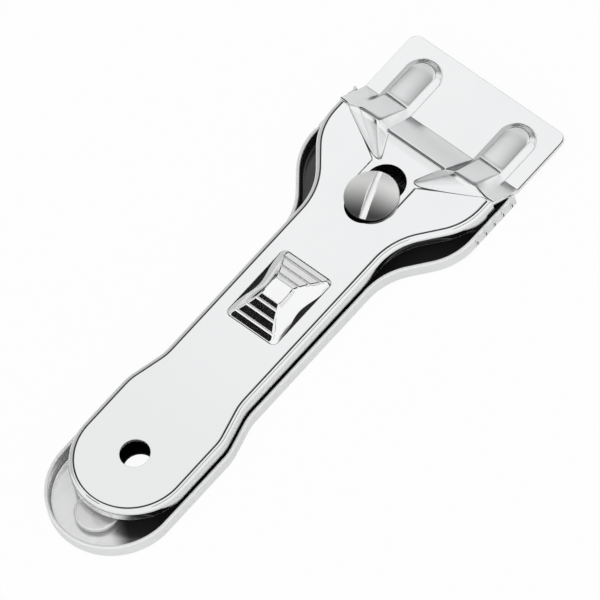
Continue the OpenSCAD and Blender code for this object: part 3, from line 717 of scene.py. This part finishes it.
coin = drawn_out("coin slot", [
    coin_slot(9.0, 0.7), coin_slot(9.1, 0.85), coin_slot(9.85, 0.85), coin_slot(9.97, 0.95),
    coin_slot(11, 1.2)])
coin.data.materials.append(screw_steel)
coin.data.materials.append(slot_steel)
for face in coin.data.polygons:
    face.material_index = 1
cut_out(screw, [coin])
smoothed(screw, 40)
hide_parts("clamp_screw")
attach(screw, "screw")

# Rear rivet. A turned steel rivet set in the tray's tail, whose flat head holds the fork of the
# guide under the cover.
rivet_profile = [
    (1.8, 0), (1.8, 0.8), (2.4, 0.85), (2.4, 1.8), (5.05, 1.8), (5.18, 1.86), (5.2, 2)]
for k in range(1, 7):
    a = math.radians(15 * k)
    rivet_profile.append((5.2 - 0.6 * (1 - math.cos(a)), 2 + 0.6 * math.sin(a)))
rivet_profile += [(4.3, 2.6), (3, 2.6), (1, 2.6)]
rivet = drawn_out(
    "rear_rivet_head", [[(*p, z) for p in circle(rivet_x, 0, r, 80)] for r, z in rivet_profile])
rivet_steel = metal(
    "rivet steel", (0.99, 0.99, 0.99), (0.96, 0.96, 0.965), 0.2, 0.28, relief=0.01, metallic=0.45)
rivet.data.materials.append(rivet_steel)
smoothed(rivet, 40)
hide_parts("rear_rivet")
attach(rivet, "base")

# Parts inside, which keep the shapes of the frame: blade and its carrier, boss, washer, guide,
# slider plate, spring, bridge and rivets. Plain steel, the blade ground and the spring blued; the
# rest in the inner steel, whose near-black colour is painted shade.
blade_steel = metal(
    "ground blade steel", (0.8, 0.81, 0.82), (0.68, 0.69, 0.7), 0.18, 0.3, lines=3500)
spring_steel = metal("blued spring steel", (0.1, 0.11, 0.14), (0.06, 0.06, 0.08), 0.25, 0.4)
finishes = {
    "scraper_blade": blade_steel,
    "blade_carrier": metal("carrier steel", (0.6, 0.61, 0.62), (0.5, 0.51, 0.52), 0.2, 0.35),
    "blade_studs": rivet_steel,
    "screw_washer": metal("washer steel", (0.8, 0.8, 0.8), (0.7, 0.7, 0.7), 0.15, 0.25),
    "latch_spring": spring_steel,
}
modelled_above = ("base_tray", "guard_cover", "thumb_slider", "clamp_screw", "rear_rivet")
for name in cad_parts:
    node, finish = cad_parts[name], finishes.get(name, inner_steel_and_shade)
    if name in modelled_above:
        continue
    if not node.material_slots:
        node.data.materials.append(finish)
    for holder in node.material_slots:
        holder.material = finish

# Floor. A plain white table that keeps a faint shadow of the scraper. Most of what the camera sees
# of it is an even glow, so that it comes out nearly as white as the photo's background.
bpy.ops.mesh.primitive_plane_add(size=1.6, location=(0, 0, -0.02 * mm))
floor = bpy.context.object
floor.name = "floor"
white = bpy.data.materials.new("white table")
white.use_nodes = True
nodes, link = white.node_tree.nodes, white.node_tree.links.new
paper = nodes["Principled BSDF"]
paper.inputs["Base Color"].default_value = (1, 1, 1, 1)
paper.inputs["Roughness"].default_value = 0.9
paper.inputs["Specular IOR Level"].default_value = 0
seen, glow = nodes.new("ShaderNodeLightPath"), nodes.new("ShaderNodeEmission")
some, blend = nodes.new("ShaderNodeMath"), nodes.new("ShaderNodeMixShader")
some.operation = "MULTIPLY"
some.inputs[1].default_value = 0.95
link(seen.outputs["Is Camera Ray"], some.inputs[0])
link(some.outputs[0], blend.inputs[0])
link(paper.outputs[0], blend.inputs[1])
link(glow.outputs[0], blend.inputs[2])
link(blend.outputs[0], nodes["Material Output"].inputs["Surface"])
floor.data.materials.append(white)

# Studio. A white room that gives soft light from all sides. A few dark and grey cards stand in it,
# and their mirror images draw the lines and the grey faces in the plating.
room = bpy.data.worlds.new("studio")
bpy.context.scene.world = room
room.use_nodes = True
nodes, link = room.node_tree.nodes, room.node_tree.links.new
direction, parts = nodes.new("ShaderNodeTexCoord"), nodes.new("ShaderNodeSeparateXYZ")
link(direction.outputs["Generated"], parts.inputs[0])


def math_node(operation, *values):
    # A Math node whose inputs are numbers or the outputs of other nodes
    node = nodes.new("ShaderNodeMath")
    node.operation = operation
    for k, value in enumerate(values):
        if hasattr(value, "is_linked"):
            link(value, node.inputs[k])
        else:
            node.inputs[k].default_value = value
    return node.outputs[0]


overhead = Vector((-to_camera.x, -to_camera.y, to_camera.z))
dot = nodes.new("ShaderNodeVectorMath")
dot.operation = "DOT_PRODUCT"
dot.inputs[1].default_value = overhead
link(direction.outputs["Generated"], dot.inputs[0])
# A thin dark ring around the mirror image of a flat draws the outlines of the pressed sheet
ring = math_node("COMPARE", dot.outputs["Value"], 0.973, 0.02)
ring = math_node("MULTIPLY", ring, math_node("COMPARE", parts.outputs["X"], 0.225, 0.175))
room_level = 0.95
level = math_node("MULTIPLY", room_level, math_node("MULTIPLY_ADD", ring, -0.95, 1.0))
# Brightness of each card, then its middle and half size along X, Y and Z. In order: the slider's
# rear slope, two that draw the fold, the band, the slider's front slope, the left sides of the
# humps, and a line along the right sides.
cards = [
    (0.008, (-0.34, 0.08), (0.413, 0.09), (0.8, 0.4)),
    (0.008, (0.8, 0.3), (0.3, 0.45), (0.265, 0.15)),
    (0.008, (0.8, 0.3), (0.3, 0.45), (0.6, 0.1)),
    (0.97, (0.8, 0.3), (0.3, 0.7), (0.0, 0.11)),
    (0.8, (0.8, 0.3), (0.3, 0.7), (0.4575, 0.0425)),
    (0.6, (0.2, 0.6), (0.8, 0.2), (0.325, 0.425)),
    (0.12, (0.3, 0.5), (-0.413, 0.07), (0.8, 0.4)),
]
for bright, x, y, z in cards:
    card = math_node("COMPARE", parts.outputs["X"], *x)
    card = math_node("MULTIPLY", card, math_node("COMPARE", parts.outputs["Y"], *y))
    card = math_node("MULTIPLY", card, math_node("COMPARE", parts.outputs["Z"], *z))
    level = math_node("MULTIPLY", level, math_node("MULTIPLY_ADD", card, bright - 1, 1.0))
# The part of the room that the tops of the ribs mirror grows darker to one side
fall = nodes.new("ShaderNodeMapRange")
link(math_node("SUBTRACT", parts.outputs["Y"], parts.outputs["X"]), fall.inputs["Value"])
for name, value in (("From Min", -0.06), ("From Max", 0.1), ("To Min", 0.4), ("To Max", 1.0)):
    fall.inputs[name].default_value = value
above = math_node("COMPARE", parts.outputs["X"], 0.35, 0.1)
above = math_node("MULTIPLY", above, math_node("COMPARE", parts.outputs["Y"], 0.4, 0.15))
dimmer = math_node("MULTIPLY_ADD", above, math_node("SUBTRACT", fall.outputs["Result"], 1.0), 1.0)
level = math_node("MULTIPLY", level, dimmer)
# The camera itself sees a white room
shown = nodes.new("ShaderNodeLightPath")
level = math_node("MAXIMUM", level, shown.outputs["Is Camera Ray"])
link(level, nodes["Background"].inputs["Color"])
bpy.context.scene.view_settings.view_transform = "Standard"
